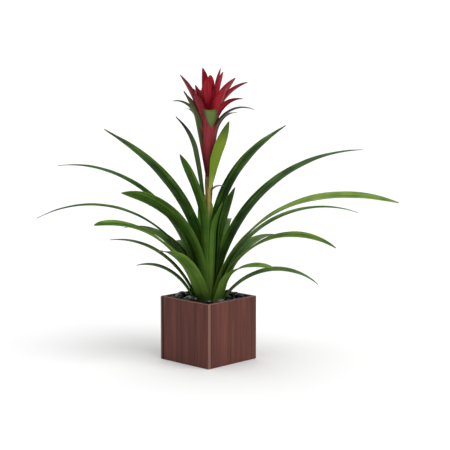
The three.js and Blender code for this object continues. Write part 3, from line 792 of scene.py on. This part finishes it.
def leaf_skin():
    """A live strap leaf: waxy satin green in fine dark and light stripes, darker
    along the middle and brighter towards the margins, where the brightness is a
    painted highlight, with a yellower foot, a duller underside, and a dry point."""
    material, tree = new_material("strap_leaf")
    on_blade, veins = read_blade(tree, LEAF_VEIN)
    _, along, share = add(tree, "ShaderNodeSeparateXYZ", (on_blade,)).outputs
    tint = add(tree, "ShaderNodeAttribute", attribute_name="tint").outputs["Vector"]
    brightness = add(tree, "ShaderNodeSeparateXYZ", (tint,))
    edge, underside = (add(tree, "ShaderNodeAttribute", attribute_name=name).outputs["Fac"]
                       for name in ("edge", "underside"))
    place = add(tree, "ShaderNodeTexCoord").outputs["Object"]
    clouds = add(tree, "ShaderNodeTexNoise", {"Vector": place, "Scale": 1 / CLOUD, "Detail": 2.0})
    bands_at = add(tree, "ShaderNodeMapping", {
        "Vector": on_blade, "Scale": (1 / BAND_WIDTH, 1 / BAND_LENGTH, 0.0)})
    bands = add(tree, "ShaderNodeTexNoise", {"Vector": bands_at, "Scale": 1.0})
    # Darker along the middle and brighter towards the margins; the bright margins are a painted
    # highlight
    margin = add(tree, "ShaderNodeMapRange", {
        "Value": edge, "From Min": 0.1, "From Max": 0.95, "To Min": -0.1, "To Max": 0.16})
    tone = veins
    for value, operation in ((clouds, "ADD"), (bands, "ADD"), (-1.5, "ADD"), (1.1, "MULTIPLY"),
                             (margin, "ADD"), (brightness, "ADD")):
        tone = add(tree, "ShaderNodeMath", (tone, value), operation=operation)
    colour = add(tree, "ShaderNodeValToRGB", (tone,), stops=(
        (0.0, LEAF_DARK), (0.45, LEAF_UPPER), (1.0, LEAF_BRIGHT))).outputs[0]
    dull = add(tree, "ShaderNodeMath", (underside, 0.45), operation="MULTIPLY")
    foot = add(tree, "ShaderNodeMapRange", {
        "Value": along, "From Min": 120.0, "From Max": 5.0, "To Max": 0.6})
    tip = add(tree, "ShaderNodeMapRange", {
        "Value": share, "From Min": 0.975, "From Max": 1.0, "To Max": 0.8})
    for part, over in ((dull, LEAF_UNDER), (foot, LEAF_FOOT), (tip, LEAF_TIP)):
        colour = add(tree, "ShaderNodeMix", {
            0: part, 6: colour, 7: linear(over)}, data_type="RGBA").outputs[2]
    bump = add(tree, "ShaderNodeBump", {"Strength": 0.3, "Distance": 0.2 * MM, "Height": veins})
    rough = add(tree, "ShaderNodeMix", {0: underside, 2: 0.42, 3: 0.6})
    surface = add(tree, "ShaderNodeBsdfPrincipled", {
        "Base Color": colour, "Roughness": rough, "Normal": bump, "IOR": 1.45,
        "Specular IOR Level": 0.03})
    add(tree, "ShaderNodeOutputMaterial", (surface,))
    return material


blade_rule = blade_tree()
strap_leaf = leaf_skin()
for order, row in enumerate(LEAVES, start=1):
    values = dict(zip(LEAF_VALUES, row))
    foot_radius = FIRST_SHELL + SHELL_STEP * values["Shell"]
    leaf = grown(f"strap_leaf_{order:02d}", blade_rule, {
        **values, "Foot radius": foot_radius, "Foot height": crown_top(foot_radius) + 2 * SEAT_GAP,
        "Foot half": 16, "Foot lean": SHELL_LEAN * values["Shell"], "Wrap": 0.85,
        "Taper start": 0.5, "Channel": 0.16, "Wave": 2.4, "Thickness": BLADE,
        "Rows": 54, "Columns": 12, "Seed": order, "Material": strap_leaf})
    leaf.data.set_sharp_from_angle(angle=BLADE_EDGE)
    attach(leaf, "root")
    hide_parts(f"leaf_{order:02d}")


# The stalk's own small leaves clasp it below the flower head: a bright one on the
# right, a grey-green one whose tip curls back, one behind, and a dry scrap.
# Each row ends with the colours of the body, the foot and the tip.
STALK_BRACT_VALUES = ("Turn", "Foot height", "Length", "Foot lean", "Tip lean", "Sheath", "Bend",
                      "Width", "Blunt", "Roll")
STALK_BRACTS = [
    (46, 322, 134, 18, 24, 0.2, 1, 30, 2.6, -12, "#748f20", "#a9b75a", "#4c651b"),
    (-72, 268, 200, 9, 46, 0.62, 0.8, 18, 1.7, 30, "#4e6138", "#7d8a5e", "#1f2c18"),
    (172, 262, 150, 6, 20, 0.2, 1, 18, 2, 0, "#4c6a2c", "#8a9d58", "#33481f"),
    (92, 314, 30, 24, 100, 0.1, 0.7, 13, 2.4, 0, "#7a6a58", "#8d8273", "#4a3a34"),
]


def soft_skin(tree, colour, veins, depth, radius):
    """A bract's surface: waxy, veined and slightly see-through."""
    bump = add(tree, "ShaderNodeBump", {"Strength": 0.4, "Distance": 0.2 * MM, "Height": veins})
    surface = add(tree, "ShaderNodeBsdfPrincipled", {
        "Base Color": colour, "Roughness": 0.42, "Normal": bump, "IOR": 1.45,
        "Specular IOR Level": 0.2, "Subsurface Weight": depth, "Subsurface Radius": radius,
        "Subsurface Scale": 1.0})
    add(tree, "ShaderNodeOutputMaterial", (surface,))


def bract_skin(name, body, foot, tip):
    """A small soft leaf: thinner and brighter than a strap leaf, veined along its
    length, pale where it clasps the stalk and darker at its point."""
    material, tree = new_material(name)
    on_blade, veins = read_blade(tree, BRACT_VEIN)
    share = add(tree, "ShaderNodeSeparateXYZ", (on_blade,)).outputs[2]
    shifted = add(tree, "ShaderNodeMath", (veins, 0.24, share), operation="MULTIPLY_ADD")
    colour = add(tree, "ShaderNodeValToRGB", (shifted,), stops=(
        (0.1, foot), (0.35, body), (0.8, body), (1.0, tip)))
    soft_skin(tree, colour, veins, 0.1, (1.0 * MM, 1.2 * MM, 0.3 * MM))
    return material


for order, row in enumerate(STALK_BRACTS, start=1):
    bract = grown(f"stalk_leaf_{order}", blade_rule, {
        **dict(zip(STALK_BRACT_VALUES, row)),
        "Foot radius": STALK_RADIUS + SEAT_GAP + BLADE / 2 + 0.1, "Foot half": 5, "Wrap": 0.65,
        "Taper start": 0.4, "Channel": 0.2, "Wave": 1.2, "Thickness": BLADE,
        "Rows": 40, "Columns": 8, "Seed": 40 + order,
        "Material": bract_skin(f"stalk_leaf_skin_{order}", *row[len(STALK_BRACT_VALUES):])})
    bract.data.set_sharp_from_angle(angle=BLADE_EDGE)
    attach(bract, "root")
    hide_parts(f"stalk_bract_{order}")


# The flower head is a spindle wrapped in overlapping red bracts: the low ones are
# tinged green and fold outwards, and the top ones stand up in a loose crown.
BLOOM_CORE = [(0, 344), (5.2, 344), (8, 380), (10.5, 430), (7, 480), (0, 500)]
BLOOM_SIDES = 24
BLOOM_RED = "#8e1022"
BLOOM_BRIGHT = "#bb2231"
BLOOM_DEEP = "#3a0810"
BLOOM_PINK = "#a3444e"
BLOOM_GREEN = "#4a6a22"
BLOOM_OLIVE = "#3a4028"

# Each row repeats the bract's turn, the height of its foot, its length, the lean
# of its tip, its sheath, bend, width, bluntness and roll, with how bright it is,
# the share of its length where it turns green (1 for never) and how dark it is.
BLOOM_VALUES = ("Turn", "Foot height", "Length", "Tip lean", "Sheath", "Bend", "Width", "Blunt",
                "Roll", "Brightness", "Green from", "Darkness")
BLOOM_BRACTS = [
    (4, 350, 186, 172, 0.5, 1, 25, 10, 0, 0.3, 0.56, 0.0),
    (-88, 350, 160, 98, 0.62, 1.2, 24, 2, 20, 0.3, 0.3, 0.3),
    (180, 352, 134, 92, 0.5, 1.3, 30, 2.4, 0, 0.3, 0.6, 0.2),
    (116, 356, 130, 96, 0.5, 1.3, 26, 2.4, 0, 0.3, 0.5, 0.6),
    (-138, 360, 130, 90, 0.5, 1.3, 26, 2.4, 0, 0.3, 0.6, 0.2),
    (84, 374, 146, 112, 0.35, 1.1, 22, 2, 10, 0.2, 0.4, 0.8),
    (-70, 376, 134, 34, 0.3, 1, 20, 1.8, 20, 0.3, 0.4, 0.5),
    (156, 380, 130, 82, 0.4, 1.2, 26, 2.4, 0, 0.4, 0.8, 0.2),
    (66, 384, 136, 92, 0.4, 1.2, 26, 2.6, -16, 0.6, 1.0, 0.7),
    (-116, 388, 120, 44, 0.3, 1, 26, 2.4, 0, 0.5, 1.0, 0.5),
    (-165, 392, 130, 64, 0.3, 1.1, 26, 2.4, 0, 0.5, 1.0, 0.5),
    (-92, 402, 138, 34, 0.2, 1, 26, 4, 24, 0.5, 1.0, 0.8),
    (92, 398, 145, 72, 0.3, 1.2, 26, 3, -24, 0.7, 1.0, 0.7),
    (36, 396, 130, 42, 0.2, 0.9, 28, 3, 0, 0.8, 1.0, 0.2),
    (-36, 400, 106, 34, 0.2, 1, 26, 3, 0, 0.5, 1.0, 0.5),
    (132, 402, 142, 56, 0.2, 1.1, 24, 3, 10, 0.6, 1.0, 0.5),
    (-150, 404, 120, 58, 0.2, 1, 24, 3, 0, 0.5, 1.0, 0.4),
    (-4, 412, 118, 26, 0.1, 1, 28, 4, 0, 0.7, 1.0, 0.0),
    (112, 420, 124, 8, 0.1, 1, 26, 6, -24, 0.5, 1.0, 0.6),
    (-140, 422, 122, -2, 0.1, 1, 26, 6, 20, 0.7, 1.0, 0.4),
    (56, 424, 116, 18, 0.1, 1, 24, 4, 0, 0.7, 1.0, 0.0),
    (-84, 420, 94, 12, 0.1, 1, 24, 4, 24, 0.6, 1.0, 0.0),
    (14, 426, 106, 4, 0.1, 1, 26, 5, 0, 0.7, 1.0, 0.0),
]


def bloom_skin():
    """A coloured bract: waxy and slightly see-through, bright along its back, with
    painted shade in deep red in its folds, at its margins and its point, and green
    or near black at the tips of the low ones."""
    material, tree = new_material("red_bract")
    on_blade, veins = read_blade(tree, BRACT_VEIN)
    share = add(tree, "ShaderNodeSeparateXYZ", (on_blade,)).outputs[2]
    edge = add(tree, "ShaderNodeAttribute", attribute_name="edge").outputs["Fac"]
    tint = add(tree, "ShaderNodeAttribute", attribute_name="tint").outputs["Vector"]
    brightness, green_from, darkness = add(tree, "ShaderNodeSeparateXYZ", (tint,)).outputs
    streak = add(tree, "ShaderNodeMath", (veins, -0.5), operation="ADD")
    tone = add(tree, "ShaderNodeMath", (streak, 1.5, brightness), operation="MULTIPLY_ADD")
    red = add(tree, "ShaderNodeValToRGB", (tone,), stops=(
        (0.0, BLOOM_PINK), (0.5, BLOOM_RED), (1.0, BLOOM_BRIGHT)))
    past = add(tree, "ShaderNodeMath", (share, green_from), operation="SUBTRACT")
    green = add(tree, "ShaderNodeMapRange", {
        "Value": past, "From Min": -0.02, "From Max": 0.12, "To Max": 0.95},
        interpolation_type="SMOOTHSTEP")
    rim = add(tree, "ShaderNodeMapRange", {"Value": edge, "From Min": 0.45, "From Max": 1.0})
    dark = add(tree, "ShaderNodeMath", (darkness, rim), operation="MAXIMUM")
    leafy = add(tree, "ShaderNodeMix", {
        0: dark, 6: linear(BLOOM_GREEN), 7: linear(BLOOM_OLIVE)}, data_type="RGBA").outputs[2]
    colour = add(tree, "ShaderNodeMix", {0: green, 6: red, 7: leafy}, data_type="RGBA").outputs[2]
    # Painted shade in deep red: at the point of the darker bracts, in the folds at the foot, and at the
    # margins
    tip = add(tree, "ShaderNodeMapRange", {
        "Value": share, "From Min": 0.72, "From Max": 1.0, "To Max": 0.85})
    fold = add(tree, "ShaderNodeMapRange", {
        "Value": share, "From Min": 0.3, "From Max": 0.05, "To Max": 0.7})
    margin = add(tree, "ShaderNodeMapRange", {
        "Value": edge, "From Min": 0.6, "From Max": 1.0, "To Max": 0.6})
    shadow = add(tree, "ShaderNodeMath", (tip, darkness), operation="MULTIPLY")
    shadow = add(tree, "ShaderNodeMath", (shadow, margin), operation="MAXIMUM")
    shadow = add(tree, "ShaderNodeMath", (shadow, fold), operation="MAXIMUM")
    colour = add(tree, "ShaderNodeMix", {
        0: shadow, 6: colour, 7: linear(BLOOM_DEEP)}, data_type="RGBA").outputs[2]
    soft_skin(tree, colour, veins, 0.06, (1.4 * MM, 0.4 * MM, 0.3 * MM))
    return material


def gather_tree():
    """Every blade in a collection, realised and joined as one mesh."""
    tree = new_tree("gather", (), Bracts="NodeSocketCollection")
    given = add(tree, "NodeGroupInput").outputs
    bracts = add(tree, "GeometryNodeCollectionInfo", {"Collection": given["Bracts"]})
    return end_tree(tree, bracts, given["Material"])


red_bract = bloom_skin()
bract_group = bpy.data.collections.new("bracts")
bract_group.objects.link(bpy.data.objects.new("spindle", turned("spindle", BLOOM_CORE, BLOOM_SIDES)))
for order, row in enumerate(BLOOM_BRACTS):
    bract = grown(f"bract_{order}", blade_rule, {
        **dict(zip(BLOOM_VALUES, row)), "Foot radius": 5.5, "Foot half": 8, "Foot lean": 10,
        "Wrap": 1.1, "Taper start": 0.4, "Channel": 0.24, "Wave": 1.6, "Thickness": BLADE,
        "Rows": 32, "Columns": 8, "Seed": 60 + order, "Material": red_bract})
    bpy.context.scene.collection.objects.unlink(bract)
    bract_group.objects.link(bract)
bloom = grown("flower_head", gather_tree(), {"Bracts": bract_group, "Material": red_bract})
for part in list(bract_group.objects):
    bpy.data.objects.remove(part)
bpy.data.collections.remove(bract_group)
bloom.data.set_sharp_from_angle(angle=BLADE_EDGE)
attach(bloom, "root")
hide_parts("bloom")


# The stage: a plain white floor, a white backdrop behind the plant in a dimmer room,
# a broad bank of light overhead towards the left and one from the front right, and a
# camera where the photograph was taken from.
CAMERA_TURN = 44.25
CAMERA_RISE = 7.7
CAMERA_DISTANCE = 2.6
CAMERA_ASIDE = 0.0311
CAMERA_AIM_HEIGHT = 0.2534
CAMERA_LENS = 112.0
FLOOR_HALF = 9
FLOOR_WHITE = (0.84, 0.84, 0.84, 1)
BACKDROP_LIGHT = 1.1
ROOM_LIGHT = 0.12
# Each bank's strength, breadth in degrees, turn from the camera, and rise
BANKS = {"overhead_bank": (1.95, 100, -110, 72), "right_bank": (2.0, 58, 52, 45)}


def toward(turn, rise):
    """The direction from the plant to a place at this turn and rise in degrees."""
    turn, rise = math.radians(turn), math.radians(rise)
    return Vector((math.sin(turn) * math.cos(rise), -math.cos(turn) * math.cos(rise), math.sin(rise)))


floor_mesh = bpy.data.meshes.new("floor")
floor_mesh.from_pydata([(x * FLOOR_HALF, y * FLOOR_HALF, 0)
                        for x, y in ((-1, -1), (1, -1), (1, 1), (-1, 1))], [], [(0, 1, 2, 3)])
paper, paper_tree = new_material("white_paper")
matt = add(paper_tree, "ShaderNodeBsdfPrincipled", {"Base Color": FLOOR_WHITE, "Roughness": 0.9})
add(paper_tree, "ShaderNodeOutputMaterial", (matt,))
floor_mesh.materials.append(paper)
floor = placed("floor", floor_mesh)

world = bpy.data.worlds.new("studio")
bpy.context.scene.world = world
world.use_nodes = True
sky = world.node_tree
sky.nodes.clear()
looking = add(sky, "ShaderNodeTexCoord").outputs["Generated"]
behind = add(sky, "ShaderNodeVectorMath", (looking, -toward(CAMERA_TURN, 0)), operation="DOT_PRODUCT")
walls = add(sky, "ShaderNodeMapRange", {
    "Value": behind.outputs["Value"], "From Min": 0.3, "From Max": 0.9,
    "To Min": ROOM_LIGHT, "To Max": BACKDROP_LIGHT})
glow = add(sky, "ShaderNodeBackground", {"Color": (1.0, 1.0, 1.0, 1.0), "Strength": walls})
add(sky, "ShaderNodeOutputWorld", (glow,))

for name, (strength, breadth, bank_turn, bank_rise) in BANKS.items():
    lamp = bpy.data.lights.new(name, "SUN")
    lamp.energy = strength
    lamp.angle = math.radians(breadth)
    source = toward(CAMERA_TURN + bank_turn, bank_rise)
    placed(name, lamp).rotation_euler = source.to_track_quat("Z", "Y").to_euler()

backward = toward(CAMERA_TURN, CAMERA_RISE)
aside = toward(CAMERA_TURN + 90, 0) * CAMERA_ASIDE
camera = placed("camera", bpy.data.cameras.new("camera"))
camera.data.lens = CAMERA_LENS
camera.data.sensor_width = 36
camera.data.clip_end = 50
camera.location = Vector((aside.x, aside.y, CAMERA_AIM_HEIGHT)) + backward * CAMERA_DISTANCE
camera.rotation_euler = backward.to_track_quat("Z", "Y").to_euler()
bpy.context.scene.camera = camera
bpy.context.scene.view_settings.view_transform = "Standard"
